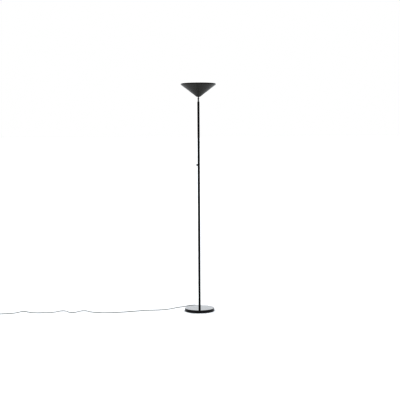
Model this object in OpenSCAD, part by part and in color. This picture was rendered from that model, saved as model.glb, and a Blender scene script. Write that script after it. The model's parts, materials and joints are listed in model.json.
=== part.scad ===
// Torchiere floor lamp: a weighted round base, a slim three-piece pole with a
// rotary dimmer, a tilting knuckle and an upward cone shade with a linear halogen
// lamp. The origin is the centre of the base on the floor, +Z is up, -Y is the
// front and the dimmer knob points to -X. All sizes are in millimetres.

/* [Lamp] */
// Height of the whole lamp
lamp_h = 1800; // [1780:1:1820]

/* [Shade] */
// Diameter of the shade's rim
shade_d = 275; // [265:1:290]
// Depth of the shade from its rim to its small end
shade_depth = 103; // [103:1:106]
// Angle of the cone's side above the floor
cone_angle = 37.5; // [36.5:0.1:37.8]
// Thickness of the spun sheet
shade_wall = 1.0; // [0.8:0.1:1.2]
// Radius of the flat small end
shade_flat_r = 12; // [11:0.5:12]
// Radius that blends the small end into the cone
shade_round_r = 6; // [4:0.5:6]

/* [Pole] */
// Diameter of the pole
pole_d = 16; // [16:0.1:16.4]
// Wall of the pole's tubes
pole_wall = 1.2; // [1:0.1:1.2]
// Height of the joint between the lower and the middle tube
low_joint_z = 610; // [500:5:700]
// Height of the joint between the middle and the upper tube
high_joint_z = 1190; // [1188:1:1210]

/* [Base] */
// Diameter of the base
base_d = 236; // [232:1:240]
// Height of the base
base_h = 22; // [22:0.5:24]
// Radius of the base's top edge
base_round_r = 3; // [2:0.5:4]

/* [Dimmer] */
// Height of the dimmer's knob
knob_z = 1162; // [1150:1:1162]
// Diameter of the knob
knob_d = 13; // [12:0.5:14]
// Length of the knob
knob_l = 10; // [9:0.5:11]

/* [Knuckle] */
// Diameter of the knuckle's two discs
disc_d = 13; // [12.5:0.1:13]

/* [Lamp carrier] */
// Depth of the halogen lamp's axis below the rim
bulb_drop = 32; // [32:0.5:33]
// Half the distance between the lamp's two contacts
contact_y = 58; // [58:0.1:58.2]

/* [Cord] */
// Diameter of the mains cord
cord_d = 5; // [5:0.1:5]

/* [Hidden] */
$fn = 96;
pole_top = lamp_h - 142;             // the cap included
pivot_z = lamp_h - 117;              // axis of the tilt
bulb_z = lamp_h - bulb_drop;         // axis of the halogen lamp
gap = 0.05;                          // running clearance of shafts and sliding faces

// Base stack, from the floor up
pad_t = 1.5;
plate_t = 2;
shell_wall = 1.5;
base_r = base_d / 2;
plate_top = pad_t + plate_t;
weight_top = base_h - shell_wall;
weight_r = base_r - max(base_round_r, shell_wall + 1);
web_t = 3.5;                         // iron left above the nut's pocket
pocket_r = 14;
channel_w = 12;
cord_z = 7;                          // height of the cord's axis inside the base
channel_top = cord_z + 3.5;
plate_screw_r = 85;                  // circle of the three underside screws
clamp_y = 60;                        // place of the cord clamp in the channel

// Threaded parts
tube_r = 5;                          // M10 hollow thread
tube_bore_r = 3.5;
hex_r = 14 / 2 / cos(30);            // corner radius of a 14 mm nut

// Pole
pole_r = pole_d / 2;
bore_r = pole_r - pole_wall;
edge = 0.4;                          // chamfer on each tube end
nipple_l = 28;
cap_t = 1.5;
bush_l = 22;

// Dimmer
pot_r = 4.8;
pot_front = -4.2;
pot_back = 1.8;
bushing_r = 3.5;
spindle_r = 2;
board_x = 2;

// Knuckle
disc_r = disc_d / 2;
disc_t = 6;
face_y = 0.25;                       // from the knuckle's middle plane to each face
stem_r = 5.75;
throat_r = 4.5;
collar_r = 6.5;
wire_bore_r = 2.6;
screw_r = 2;                         // M4 tilt screw

// Shade
shade_r = shade_d / 2;
shade_z = lamp_h - shade_depth;
bead_r = 1.3;

// Lamp carrier
spacer_top = shade_z + 45;           // where the lamp bracket sits
bracket_t = 1.5;
bracket_w = 22;
bracket_y = 66;                      // inner face of the bracket's upright ends
bracket_top = bulb_z + 12;
holder_w = 19;
holder_y = 50;                       // inner face of each ceramic holder
cup_r = 4.6;
cap_r = 3.7;
glass_t = 3;

// Cord
gland_start = base_r - 3.7;          // inner end of the strain relief
gland_y = 144;                       // its mouth
coil_centre = [-1630, -78];
coil_lift = 1;                       // the coil rests on its tie
coil_in = 25;                        // radius of the inner turn's centreline
coil_out = 30;
plug_h = 13.7;

// The cord's route over the floor, from the strain relief to the coil
cord_route = [
    [0, 144, 7], [0, 157, 6.7], [0, 174, 4.8], [-5, 194, 3], [-23, 211, 2.5],
    [-50, 216, 2.5], [-82, 202, 2.5], [-116, 169, 2.5], [-190, 108, 2.5],
    [-265, 40, 2.5], [-335, 17, 2.5], [-440, 2, 2.5], [-540, -36, 2.5],
    [-700, -80, 2.5], [-785, -77, 2.5], [-862, -46, 2.5], [-894, -12, 2.5],
    [-920, 3, 2.5], [-944, -3, 2.5], [-962, -24, 2.5], [-979, -51, 2.5],
    [-1002, -65, 2.5], [-1028, -59, 2.5], [-1048, -32, 2.5], [-1069, -2, 2.5],
    [-1094, 6, 2.5], [-1119, -9, 2.5], [-1147, -42, 2.5], [-1195, -60, 2.5],
    [-1328, -60, 2.5], [-1364, -34, 2.5], [-1391, -12, 2.5], [-1417, -16, 2.5],
    [-1437, -44, 2.5], [-1461, -72, 2.5], [-1500, -88, 2.5], [-1575, -106, 2.5],
    [-1630, -108, 3.5]
];

// The short stretch from the top of the coil to the plug
tail_route = [
    [-1656, -87, 7.8], [-1660, -76, 8.5], [-1664, -65, 7.6], [-1668, -54, 5.8],
    [-1671, -42, 4.8], [-1672, -30, 6.2], [-1672, -22, 6.85]
];

// ---- helpers ----

function unit(v) = v / norm(v);

// Point at share t of the curve from b to c, with a and d as their neighbours
function curve_point(a, b, c, d, t) =
    0.5 * (2 * b + (c - a) * t + (2 * a - 5 * b + 4 * c - d) * t * t
        + (3 * b - a - 3 * c + d) * t * t * t);

// A smooth curve through every point of p, with steps pieces between two points
function smooth(p, steps) = concat(
    [for (i = [0 : len(p) - 2], k = [0 : steps - 1])
        curve_point(p[max(i - 1, 0)], p[i], p[i + 1],
            p[min(i + 2, len(p) - 1)], k / steps)],
    [p[len(p) - 1]]);

// A round cable swept along points; ref is a direction that it never follows
module cable(points, d, sides = 8, ref = [0, 0, 1]) {
    n = len(points);
    rings = [for (i = [0 : n - 1])
        let (t = unit(points[min(i + 1, n - 1)] - points[max(i - 1, 0)]),
            u = unit(cross(ref, t)), v = cross(t, u))
        for (k = [0 : sides - 1])
            points[i] + d / 2 * (cos(360 * k / sides) * u + sin(360 * k / sides) * v)];
    ends = [[for (k = [0 : sides - 1]) k],
        [for (k = [0 : sides - 1]) n * sides - 1 - k]];
    walls = [for (i = [0 : n - 2], k = [0 : sides - 1])
        let (m = (k + 1) % sides, low = i * sides, high = low + sides)
        each [[high + m, low + m, low + k], [high + k, high + m, low + k]]];
    polyhedron(rings, concat(ends, walls), convexity = 10);
}

// A ring or tube from height z0 to z1
module ring(outer, inner, z0, z1) {
    translate([0, 0, z0])
        difference() {
            cylinder(r = outer, h = z1 - z0);
            translate([0, 0, -1]) cylinder(r = inner, h = z1 - z0 + 2);
        }
}

// A cylinder along +Y from y0 to y1, at x and z
module rod_y(r, y0, y1, x = 0, z = 0) {
    translate([x, y1, z]) rotate([90, 0, 0]) cylinder(r = r, h = y1 - y0);
}

// A cylinder along +X from x0 to x1, at height z
module rod_x(r, x0, x1, z) {
    translate([x0, 0, z]) rotate([0, 90, 0]) cylinder(r = r, h = x1 - x0);
}

// A box from one corner to the opposite one
module box(low, high) {
    translate(low) cube(high - low);
}

// ---- base ----

module floor_pad() {
    color("dimgray") ring(base_r - 6, 20, 0, pad_t);
}

// Copies its child to the three places of the underside screws
module at_plate_screws() {
    for (a = [30, 150, 270])
        rotate([0, 0, a]) translate([plate_screw_r, 0, 0]) children();
}

module base_plate() {
    color("silver")
        difference() {
            ring(base_r - shell_wall - 0.3, 20, pad_t, plate_top);
            at_plate_screws() {
                translate([0, 0, pad_t - 1]) cylinder(r = 1.6, h = plate_t + 2);
                translate([0, 0, pad_t - 0.01]) cylinder(r1 = 2.95, r2 = 1.5, h = 1.5);
            }
            box([-channel_w / 2, base_r - 12, 0], [channel_w / 2, base_r + 5, base_h]);
        }
}

module base_plate_screws() {
    color("gainsboro")
        at_plate_screws() {
            translate([0, 0, pad_t]) cylinder(r1 = 2.8, r2 = 1.4, h = 1.5);
            translate([0, 0, pad_t + 1]) cylinder(r = 1.4, h = 10);
        }
}

module base_weight() {
    color("slategray")
        difference() {
            translate([0, 0, plate_top]) cylinder(r = weight_r, h = weight_top - plate_top);
            cylinder(r = tube_r + 0.2, h = base_h);
            cylinder(r = pocket_r, h = weight_top - web_t);
            box([-channel_w / 2, 0, 0], [channel_w / 2, base_r, channel_top]);
            box([-channel_w / 2, base_r - 10, 0], [channel_w / 2, base_r, cord_z + 5.5]);
            box([-13, clamp_y - 6, 0], [13, clamp_y + 6, channel_top]);
            at_plate_screws() cylinder(r = 1.4, h = pad_t + 12);
            for (x = [-8.5, 8.5])
                translate([x, clamp_y, 0]) cylinder(r = 1.25, h = channel_top + 6);
        }
}

// Half outline of a cup with rounded shoulder, turned upside down
module shell_outline(r, h, round_r) {
    square([r - round_r, h]);
    square([r, h - round_r]);
    translate([r - round_r, h - round_r]) circle(r = round_r);
}

module base_shell() {
    color([0.03, 0.03, 0.035])
        difference() {
            translate([0, 0, pad_t])
                rotate_extrude()
                    intersection() {
                        difference() {
                            shell_outline(base_r, base_h - pad_t, base_round_r);
                            shell_outline(base_r - shell_wall, weight_top - pad_t,
                                base_round_r - shell_wall);
                        }
                        translate([tube_r + 0.2, 0]) square([base_r, base_h]);
                    }
            rod_y(4.2, base_r - 8, base_r + 8, z = cord_z);
        }
}

module pole_stud() {
    color("silver") ring(tube_r, tube_bore_r, weight_top - 8.5, base_h + 26);
}

module stud_washer() {
    color("silver") ring(12, tube_r, weight_top - web_t - 1.5, weight_top - web_t);
}

module stud_nut() {
    color("silver")
        translate([0, 0, weight_top - web_t - 5])
            difference() {
                cylinder(r = hex_r, h = 3.5, $fn = 6);
                translate([0, 0, -1]) cylinder(r = tube_r, h = 6);
            }
}

// A saddle that holds the cord up against the weight
module cord_clamp() {
    color("white")
        difference() {
            translate([0, clamp_y + 4, cord_z]) rotate([90, 0, 0])
                linear_extrude(height = 8)
                    difference() {
                        union() {
                            circle(r = cord_d / 2 + 0.9);
                            translate([-cord_d / 2 - 0.9, 0]) square([cord_d + 1.8, 3.5]);
                            translate([-12, 2.5]) square([24, 1]);
                        }
                        circle(r = cord_d / 2);
                        translate([-cord_d / 2, 0]) square([cord_d, 4]);
                    }
            for (x = [-8.5, 8.5])
                translate([x, clamp_y, cord_z]) cylinder(r = 1.25, h = 5);
        }
}

module cord_clamp_screws() {
    color("gainsboro")
        for (x = [-8.5, 8.5])
            translate([x, clamp_y, 0]) {
                translate([0, 0, channel_top - 2.8]) cylinder(r = 2.6, h = 1.8);
                translate([0, 0, channel_top - 1.5]) cylinder(r = 1.2, h = 7);
            }
}

// ---- pole ----

// A pole tube with chamfered ends
module pole_tube(z0, z1) {
    rotate_extrude()
        polygon([[bore_r, z0], [pole_r - edge, z0], [pole_r, z0 + edge],
            [pole_r, z1 - edge], [pole_r - edge, z1], [bore_r, z1]]);
}

module pole_foot_bush() {
    color("silver") ring(bore_r, tube_r, base_h, base_h + 30);
}

module pole_lower() {
    color([0.06, 0.06, 0.06]) pole_tube(base_h, low_joint_z);
}

module pole_nipple_low() {
    color("silver") ring(bore_r, tube_r, low_joint_z - nipple_l / 2, low_joint_z + nipple_l / 2);
}

module pole_middle() {
    color([0.06, 0.06, 0.06])
        difference() {
            pole_tube(low_joint_z, high_joint_z);
            rod_x(bushing_r + 0.1, -pole_r - 2, 0, knob_z);
        }
}

module pole_nipple_high() {
    color("silver") ring(bore_r, tube_r, high_joint_z - nipple_l / 2, high_joint_z + nipple_l / 2);
}

module pole_upper() {
    color([0.06, 0.06, 0.06]) pole_tube(high_joint_z, pole_top - cap_t);
}

// The tapped bush in the top of the pole, with a thin rounded cap
module pole_cap_bush() {
    color([0.06, 0.06, 0.06])
        rotate_extrude()
            polygon([[tube_r, pole_top - bush_l], [bore_r, pole_top - bush_l],
                [bore_r, pole_top - cap_t], [pole_r, pole_top - cap_t],
                [pole_r, pole_top - 0.8], [pole_r - 0.8, pole_top], [tube_r, pole_top]]);
}

// The cord's inner stretch, down the pole and through the base to the strain relief
module supply_lead() {
    bend_r = 8;
    bend = [for (a = [0 : 15 : 90])
        [0, bend_r - bend_r * cos(a), cord_z + bend_r - bend_r * sin(a)]];
    color("lightgray")
        cable(concat([[0, 0, knob_z - 84]], bend, [[0, gland_start, cord_z]]),
            cord_d, 12, [1, 0, 0]);
}

// The two insulated wires from the dimmer to the knuckle
module pole_lead() {
    color("white")
        for (y = [-1, 1])
            cable([[board_x + 0.8, y, knob_z + 10], [board_x + 0.8, y, knob_z + 20],
                [0, y, high_joint_z + 20], [0, y, pivot_z - 9]], 1.6, 8, [0, 1, 0]);
}

// ---- dimmer ----

module dimmer_board() {
    color("darkgreen") box([board_x, -5, knob_z - 78], [board_x + 1.6, 5, knob_z + 10]);
}

module dimmer_triac() {
    color([0.1, 0.1, 0.1]) box([board_x - 4.5, -5, knob_z - 42], [board_x, 5, knob_z - 26]);
}

module dimmer_choke() {
    color("goldenrod")
        translate([board_x - 4, 0, knob_z - 60]) cylinder(r = 4, h = 12);
}

module dimmer_capacitor() {
    color("gold") box([board_x - 5, -4.5, knob_z - 76], [board_x, 4.5, knob_z - 64]);
}

module dimmer_potentiometer() {
    color("dimgray")
        difference() {
            union() {
                rod_x(pot_r, pot_front, pot_back, knob_z);
                rod_x(bushing_r, -pole_r - 2.4, pot_front + 0.5, knob_z);
            }
            rod_x(spindle_r + gap, -pole_r - 3, 0, knob_z);
            rod_x(3.9, pot_front + 1, pot_back - 1, knob_z);
        }
}

module dimmer_nut() {
    color("silver")
        difference() {
            translate([-pole_r - 1.6, 0, knob_z]) rotate([0, 90, 0])
                cylinder(r = 9 / 2 / cos(30), h = 1.6, $fn = 6);
            rod_x(bushing_r, -pole_r - 3, 0, knob_z);
        }
}

module dimmer_spindle() {
    color("white") {
        rod_x(spindle_r, -pole_r - 8.5, 0, knob_z);
        rod_x(3.5, pot_front + 1.5, pot_front + 2.7, knob_z);
    }
}

// The knob hides the nut in its hollow back; its grip is fluted
module dimmer_knob() {
    tip = -pole_r - 0.5 - knob_l;
    color([0.05, 0.05, 0.05])
        difference() {
            translate([tip, 0, knob_z]) rotate([0, 90, 0])
                rotate_extrude()
                    polygon([[0, 0], [knob_d / 2 - 1.2, 0], [knob_d / 2 - 0.5, 0.7],
                        [knob_d / 2, knob_l - 1], [knob_d / 2, knob_l], [0, knob_l]]);
            rod_x(5.5, -pole_r - 3, 0, knob_z);
            rod_x(spindle_r, -pole_r - 8.5, 0, knob_z);
            for (a = [0 : 20 : 340])
                translate([tip - 1, 0, knob_z]) rotate([a, 0, 0])
                    translate([0, 0, knob_d / 2 + 0.15]) rotate([0, 90, 0])
                        cylinder(r = 0.5, h = knob_l - 1, $fn = 16);
        }
}

// ---- knuckle ----

module knuckle_lower() {
    front = -face_y;
    color("gainsboro")
        difference() {
            union() {
                translate([0, 0, pole_top - 18]) cylinder(r = tube_r, h = 19);
                difference() {
                    translate([0, 0, pole_top]) cylinder(r = stem_r, h = pivot_z - pole_top);
                    box([-10, front, pivot_z - disc_r - 0.5], [10, 10, pivot_z + 1]);
                }
                rod_y(disc_r, front - disc_t, front, z = pivot_z);
            }
            translate([0, 0, pole_top - 19])
                cylinder(r = wire_bore_r, h = pivot_z - 3.2 - pole_top + 19);
            difference() {
                rod_y(4.7, front - 3.4, 1, z = pivot_z);
                rod_y(2.9, front - 4, 2, z = pivot_z);
            }
            rod_y(screw_r, front - 4.6, 1, z = pivot_z);
        }
}

module friction_washer() {
    color("burlywood")
        difference() {
            rod_y(disc_r - 0.2, -face_y, face_y - gap, z = pivot_z);
            rod_y(4.8, -1, 1, z = pivot_z);
        }
}

module knuckle_upper() {
    color("gainsboro")
        difference() {
            union() {
                difference() {
                    translate([0, 0, pivot_z]) cylinder(r = throat_r, h = shade_z - pivot_z);
                    box([-10, -10, pivot_z - 1], [10, face_y, pivot_z + disc_r + 0.5]);
                }
                translate([0, 0, shade_z - 2]) cylinder(r = collar_r, h = 2);
                translate([0, 0, shade_z - 1]) cylinder(r = tube_r, h = 54);
                rod_y(disc_r, face_y, face_y + disc_t, z = pivot_z);
            }
            translate([0, 0, pivot_z + 3.2]) cylinder(r = wire_bore_r, h = 80);
            difference() {
                rod_y(4.7, -1, face_y + 3.4, z = pivot_z);
                rod_y(2.9, -2, face_y + 4, z = pivot_z);
            }
            rod_y(screw_r + gap, -1, 10, z = pivot_z);
        }
}

module spring_washer() {
    color("silver")
        difference() {
            rod_y(3.6, face_y + disc_t + gap, face_y + disc_t + 0.6, z = pivot_z);
            rod_y(screw_r, 0, 12, z = pivot_z);
        }
}

module tilt_screw() {
    head_y = face_y + disc_t + 0.6;
    color("silver")
        difference() {
            union() {
                rod_y(screw_r, -face_y - 4.6, head_y, z = pivot_z);
                rod_y(3.5, head_y, head_y + 2.4, z = pivot_z);
            }
            translate([0, head_y + 3, pivot_z]) rotate([90, 0, 0])
                cylinder(r = 1.45, h = 2, $fn = 6);
        }
}

// ---- shade and lamp carrier ----

// Half outline of the cone, grown inwards by t from its outer face
function cone_side(t) =
    let (r = shade_round_r - t, cx = shade_flat_r, cz = shade_z + shade_round_r,
        foot = [cx + r * sin(cone_angle), cz - r * cos(cone_angle)],
        wall_r = shade_r - t)
    concat([[tube_r + 0.1, shade_z + t]],
        [for (a = [0 : cone_angle / 5 : cone_angle]) [cx + r * sin(a), cz - r * cos(a)]],
        [[wall_r, foot[1] + (wall_r - foot[0]) * tan(cone_angle)],
        [wall_r, lamp_h - bead_r]]);

module shade() {
    outer = cone_side(0);
    inner = cone_side(shade_wall);
    color([0.05, 0.05, 0.05])
        rotate_extrude($fn = 180) {
            polygon(concat(outer, [for (i = [len(inner) - 1 : -1 : 0]) inner[i]]));
            translate([shade_r - bead_r, lamp_h - bead_r]) circle(r = bead_r, $fn = 32);
        }
}

module shade_washer() {
    color("silver") ring(11, tube_r, shade_z + shade_wall, shade_z + shade_wall + 1.5);
}

module bracket_spacer() {
    color("silver") ring(7.5, tube_r, shade_z + shade_wall + 1.5, spacer_top);
}

// A strip with two upright ends for the lamp holders and two lugs for the reflector
module lamp_bracket() {
    half = bracket_w / 2;
    color("silver")
        difference() {
            union() {
                box([-half, -bracket_y - bracket_t, spacer_top],
                    [half, bracket_y + bracket_t, spacer_top + bracket_t]);
                for (side = [0, 180])
                    rotate([0, 0, side]) {
                        box([-half, bracket_y, spacer_top],
                            [half, bracket_y + bracket_t, bracket_top]);
                        box([-5, 34, spacer_top], [5, 36, bulb_z - 13.6]);
                    }
            }
            cylinder(r = tube_r, h = lamp_h);
            for (side = [0, 180], x = [-5.5, 5.5])
                rotate([0, 0, side]) rod_y(1.5, bracket_y - 1, bracket_y + 3, x, bulb_z - 4);
        }
}

module head_nut() {
    color("silver")
        translate([0, 0, spacer_top + bracket_t])
            difference() {
                cylinder(r = hex_r, h = 4.5, $fn = 6);
                translate([0, 0, -1]) cylinder(r = tube_r, h = 7);
            }
}

// An open trough under the lamp
module reflector() {
    color("aliceblue")
        translate([0, 46, bulb_z]) rotate([90, 0, 0])
            linear_extrude(height = 92)
                intersection() {
                    difference() {
                        circle(r = 13.6);
                        circle(r = 12.9);
                    }
                    translate([-20, -20]) square([40, 17]);
                }
}

// A ceramic holder at the +Y end, with its cup towards the middle
module holder_block() {
    half = holder_w / 2;
    difference() {
        box([-half, holder_y, bulb_z - half], [half, bracket_y, bulb_z + half]);
        rod_y(cup_r, holder_y - 1, contact_y + 0.8, z = bulb_z);
        for (x = [-5.5, 5.5])
            rod_y(1.25, bracket_y - 7, bracket_y + 1, x, bulb_z - 4);
    }
}

module lamp_holder_front() {
    color("ivory")
        difference() {
            rotate([0, 0, 180]) holder_block();
            rod_y(screw_r, -bracket_y - 1, -contact_y, z = bulb_z);
        }
}

module lamp_holder_rear() {
    color("ivory")
        difference() {
            holder_block();
            rod_y(screw_r + gap, contact_y, bracket_y, z = bulb_z);
            rod_y(3.6, contact_y + 2.8, bracket_y + 1, z = bulb_z);
        }
}

module holder_screws() {
    color("gainsboro")
        for (side = [0, 180], x = [-5.5, 5.5])
            rotate([0, 0, side]) {
                rod_y(1.2, bracket_y - 6.5, bracket_y + 2, x, bulb_z - 4);
                rod_y(2.6, bracket_y + bracket_t, bracket_y + 3.1, x, bulb_z - 4);
            }
}

module fixed_contact() {
    color("darkgoldenrod") rod_y(screw_r, -bracket_y, -contact_y, z = bulb_z);
}

// A plunger that the spring presses against the lamp's end
module sprung_contact() {
    color("darkgoldenrod") {
        rod_y(screw_r, contact_y + gap, contact_y + 3.2, z = bulb_z);
        rod_y(3.2, contact_y + 2.9, contact_y + 3.7, z = bulb_z);
        rod_y(1.2, contact_y + 3.5, contact_y + 5.4, z = bulb_z);
    }
}

module contact_spring() {
    turns = 3;
    per_turn = 10;
    y0 = contact_y + 4.1;
    pitch = (bracket_y - 0.4 - y0) / turns;
    color("silver")
        cable([for (i = [0 : turns * per_turn])
            [2.4 * cos(360 * i / per_turn), y0 + pitch * i / per_turn,
                bulb_z + 2.4 * sin(360 * i / per_turn)]], 0.6, 6, [0, 1, 0]);
}

module lamp_tube() {
    color([0.9, 0.95, 1, 0.4])
        difference() {
            rod_y(5, -43, 43, z = bulb_z);
            rod_y(4, -44, 44, z = bulb_z);
        }
}

// At each end: the pinched quartz seal and its ceramic cap
module lamp_ends() {
    color("white")
        for (side = [0, 180])
            rotate([0, 0, side]) {
                rod_y(4, 41.5, 43.5, z = bulb_z);
                rod_y(5, 43, 44.5, z = bulb_z);
                box([-3, 44, bulb_z - 1.3], [3, 49, bulb_z + 1.3]);
                rod_y(cap_r, 48.5, contact_y, z = bulb_z);
            }
}

module lamp_filament() {
    color("gray") {
        rod_y(0.4, -41.5, 41.5, z = bulb_z);
        rod_y(0.9, -36, 36, z = bulb_z);
    }
}

module glass_shield() {
    hx = 36;
    hy = bracket_y + 3;
    corner = 6;
    color([0.8, 0.9, 0.95, 0.4])
        translate([0, 0, bracket_top])
            linear_extrude(height = glass_t) {
                square([2 * hx, 2 * (hy - corner)], center = true);
                square([2 * (hx - corner), 2 * hy], center = true);
                for (x = [-1, 1], y = [-1, 1])
                    translate([x * (hx - corner), y * (hy - corner)]) circle(r = corner);
            }
}

// Bent strips that grip the bracket's ends and hold the glass down
module glass_clips() {
    out = bracket_y + 3;
    top = bracket_top + glass_t;
    color("silver")
        for (side = [0, 180])
            rotate([0, 0, side]) {
                box([-5, out, bracket_top - 12], [5, out + 0.8, top + 0.8]);
                box([-5, out - 9, top], [5, out + 0.8, top + 0.8]);
                box([-5, bracket_y + bracket_t, bracket_top - 12],
                    [5, out + 0.8, bracket_top - 11.2]);
            }
}

// One wire from the knuckle to each lamp holder
module head_leads() {
    color("white")
        for (side = [1, -1])
            cable(smooth([[0.9 * side, 0, pivot_z + 12], [0.9 * side, 0, shade_z + 51],
                [3 * side, 6 * side, shade_z + 55.6], [6.5 * side, 20 * side, shade_z + 54],
                [7 * side, 44 * side, shade_z + 51], [5 * side, 56 * side, shade_z + 54],
                [4 * side, 58 * side, bulb_z - holder_w / 2]], 4), 1.6, 8, [1, 0, 0]);
}

// ---- cord ----

// The tapered strain relief, held in the shell's hole by two collars
module cord_gland() {
    mouth = gland_y - base_r;
    color("lightgray")
        translate([0, base_r, cord_z]) rotate([-90, 0, 0])
            difference() {
                rotate_extrude()
                    polygon([[0, gland_start - base_r], [5, gland_start - base_r],
                        [5, -1.75], [4.1, -1.75], [4.1, 0], [5, 0], [5, 1.8],
                        [4.3, 2.4], [3.3, mouth - 0.6], [2.9, mouth], [0, mouth]]);
                translate([0, 0, -5]) cylinder(r = cord_d / 2, h = mouth + 6);
            }
}

module cord_run() {
    color("gainsboro")
        cable(concat([[0, gland_start, cord_z]], smooth(cord_route, 2)), cord_d, 10);
}

module cord_tail() {
    color("gainsboro") cable(smooth(tail_route, 3), cord_d, 10);
}

// Half outline of the coiled turns: two below and one in the groove above
module coil_outline(grow) {
    r = cord_d / 2 + grow;
    low = coil_lift - grow;
    high = coil_lift + cord_d * (1 + sqrt(3) / 2) + grow;
    polygon([[coil_in - r, low], [coil_out + r, low], [coil_out + r, low + cord_d + grow],
        [coil_out, high], [coil_in, high], [coil_in - r, low + cord_d + grow]]);
}

module cord_coil() {
    color("gainsboro")
        translate([coil_centre[0], coil_centre[1], 0])
            rotate_extrude() coil_outline(0);
}

module cord_tie() {
    color("white")
        translate([coil_centre[0], coil_centre[1], 0]) rotate([0, 0, 235])
            translate([0, 3, 0]) rotate([90, 0, 0])
                linear_extrude(height = 6)
                    difference() {
                        coil_outline(1);
                        coil_outline(0.2);
                    }
}

// A flat two-pin plug lying on its side; its pins point to +Y
module plug_body() {
    end = tail_route[len(tail_route) - 1];
    color("gainsboro")
        translate([end[0], end[1], plug_h / 2]) {
            rotate([-90, 0, 0]) cylinder(r1 = 3.4, r2 = 4.6, h = 13);
            hull() {
                translate([0, 12, 0]) rotate([-90, 0, 0]) cylinder(r = 5, h = 1, $fn = 32);
                for (x = [-5, 5])
                    translate([x, 26, 0]) rotate([-90, 0, 0])
                        cylinder(r = plug_h / 2, h = 1, $fn = 32);
                for (x = [-10.8, 10.8])
                    translate([x, 47, 0]) rotate([-90, 0, 0])
                        cylinder(r = plug_h / 2, h = 1, $fn = 32);
            }
        }
}

module plug_pins() {
    end = tail_route[len(tail_route) - 1];
    color("silver")
        for (x = [-9.3, 9.3])
            rod_y(2, end[1] + 48, end[1] + 67, end[0] + x, plug_h / 2);
}

floor_pad();
base_plate();
base_plate_screws();
base_weight();
base_shell();
pole_stud();
stud_washer();
stud_nut();
cord_clamp();
cord_clamp_screws();
pole_foot_bush();
pole_lower();
pole_nipple_low();
pole_middle();
pole_nipple_high();
pole_upper();
pole_cap_bush();
supply_lead();
pole_lead();
dimmer_board();
dimmer_triac();
dimmer_choke();
dimmer_capacitor();
dimmer_potentiometer();
dimmer_nut();
dimmer_spindle();
dimmer_knob();
knuckle_lower();
friction_washer();
knuckle_upper();
tilt_screw();
spring_washer();
shade();
shade_washer();
bracket_spacer();
lamp_bracket();
head_nut();
reflector();
lamp_holder_front();
lamp_holder_rear();
holder_screws();
fixed_contact();
sprung_contact();
contact_spring();
lamp_tube();
lamp_ends();
lamp_filament();
glass_shield();
glass_clips();
head_leads();
cord_gland();
cord_run();
cord_coil();
cord_tail();
cord_tie();
plug_body();
plug_pins();
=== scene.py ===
"""A torchiere floor lamp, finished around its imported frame.

Everything is in metres: +Z is up, -Y is the front, and the cord leaves towards -X.
"""

import json
import math

import bmesh
import bpy
from mathutils import Matrix, Vector


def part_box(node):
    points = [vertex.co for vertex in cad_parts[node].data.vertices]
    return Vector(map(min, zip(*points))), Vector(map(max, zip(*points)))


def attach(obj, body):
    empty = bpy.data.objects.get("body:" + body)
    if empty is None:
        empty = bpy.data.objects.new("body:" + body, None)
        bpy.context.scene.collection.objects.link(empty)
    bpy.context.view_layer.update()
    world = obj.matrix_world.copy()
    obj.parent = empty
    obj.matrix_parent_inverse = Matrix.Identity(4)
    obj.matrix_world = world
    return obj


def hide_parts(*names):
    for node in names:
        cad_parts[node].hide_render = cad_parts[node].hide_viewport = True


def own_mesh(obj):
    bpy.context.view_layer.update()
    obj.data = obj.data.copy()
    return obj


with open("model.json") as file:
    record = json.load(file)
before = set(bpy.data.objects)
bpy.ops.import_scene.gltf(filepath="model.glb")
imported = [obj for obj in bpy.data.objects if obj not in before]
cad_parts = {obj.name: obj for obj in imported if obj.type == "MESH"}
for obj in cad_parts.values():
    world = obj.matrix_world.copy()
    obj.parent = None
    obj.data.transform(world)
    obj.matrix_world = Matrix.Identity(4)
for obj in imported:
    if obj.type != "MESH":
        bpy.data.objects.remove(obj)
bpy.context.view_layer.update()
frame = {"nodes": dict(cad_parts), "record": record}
nodes = frame["nodes"]

MM = 0.001
TURN = 2 * math.pi


def mm(*lengths):
    """Lengths given in millimetres, as a list."""
    return [length * MM for length in lengths]


# ---- camera, floor and light ----

CAMERA_PLACE = (0.0082, -7.062, 1.401)
CAMERA_DROP = 4.185          # degrees that it looks down
CAMERA_ROLL = -0.33          # degrees
CAMERA_LENS = 80.51          # mm, on a 36 mm sensor

FRONT_LIGHT = 0.15           # how bright the surroundings are in front of the lamp
BACK_LIGHT = 2.2             # and behind it
TOP_LIGHT = 1.05             # added overhead
DAYLIGHT = (0.95, 0.975, 1.0)    # its slightly cool colour
CONTRAST = 0.7               # the print's gamma, which deepens the blacks


def add(name, data):
    """A new object with this data, in the scene."""
    made = bpy.data.objects.new(name, data)
    bpy.context.scene.collection.objects.link(made)
    return made


def make_camera():
    data = bpy.data.cameras.new("camera")
    data.sensor_width = 36
    data.lens = CAMERA_LENS
    camera = add("camera", data)
    look = Matrix.Rotation(math.radians(90 - CAMERA_DROP), 4, "X")
    roll = Matrix.Rotation(math.radians(CAMERA_ROLL), 4, "Z")
    camera.matrix_world = Matrix.Translation(CAMERA_PLACE) @ look @ roll
    bpy.context.scene.camera = camera


def new_node(tree, kind, inputs, **settings):
    """A shader node. Its inputs are values or other nodes' sockets, by name or by number."""
    made = tree.nodes.new("ShaderNode" + kind)
    for name, value in settings.items():
        setattr(made, name, value)
    for name, value in inputs.items():
        if isinstance(value, bpy.types.NodeSocket):
            tree.links.new(value, made.inputs[name])
        else:
            made.inputs[name].default_value = value
    return made


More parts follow.
